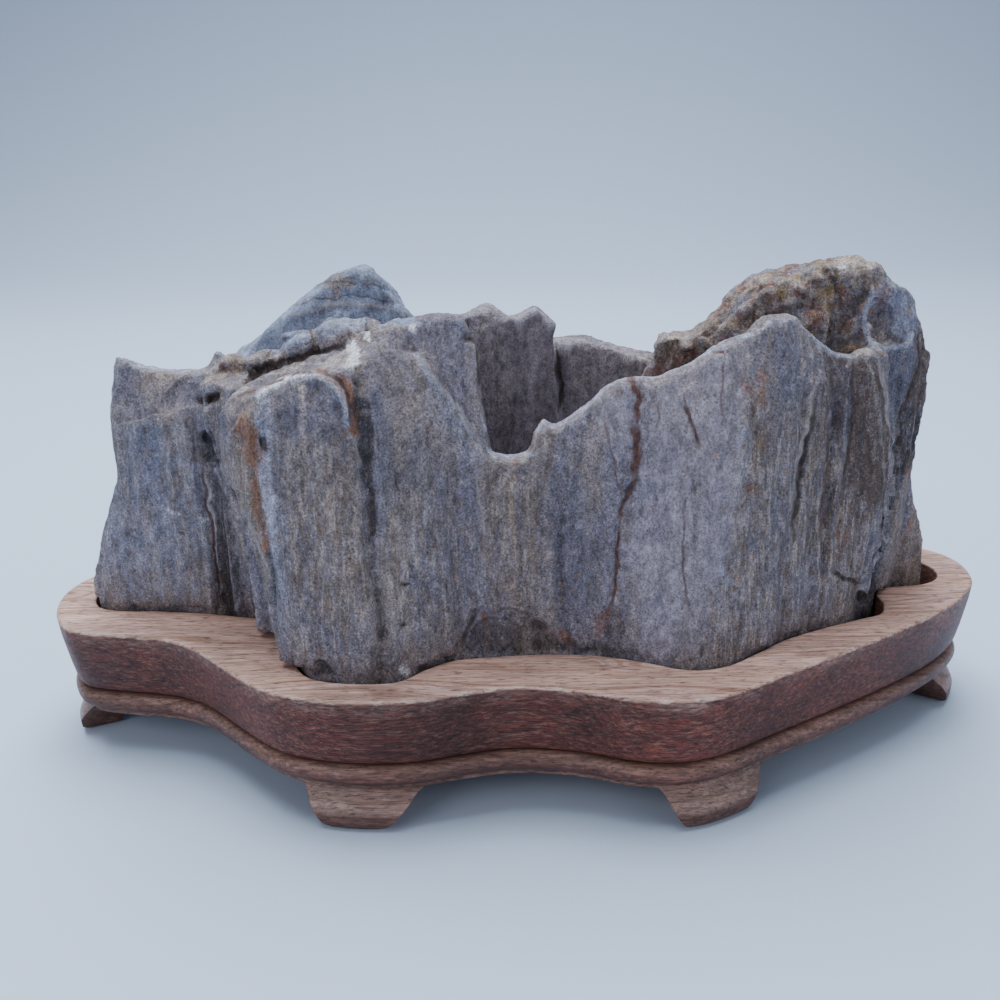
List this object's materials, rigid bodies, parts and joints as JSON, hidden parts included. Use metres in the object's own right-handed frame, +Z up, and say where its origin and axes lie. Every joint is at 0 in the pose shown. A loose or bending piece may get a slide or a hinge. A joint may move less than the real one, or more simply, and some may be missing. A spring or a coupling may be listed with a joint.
{
  "type": "scholar's rock on wooden stand",
  "caption": "Upright layered scholar's rock with a V-shaped front wall and a hollow behind it, standing in the fitted opening of a lobed wooden stand with low carved feet.",
  "frame": {"origin": "on the table, under the middle of the whole object's box", "axes": "+X along the length of the stone and stand to the right as seen from the front, -Y towards the front, +Z up"},
  "size_m": [0.3021, 0.1229, 0.1509],
  "materials": {
    "stone": "natural matte grey stone with brown and rust seams, a little smoother on the worn faces",
    "stand_wood": "satin oiled brown hardwood with fine dark pores"
  },
  "bodies": {
    "root": {"rock": "stone", "stand_rim": "stand_wood", "stand_base": "stand_wood"}
  },
  "joints": []
}
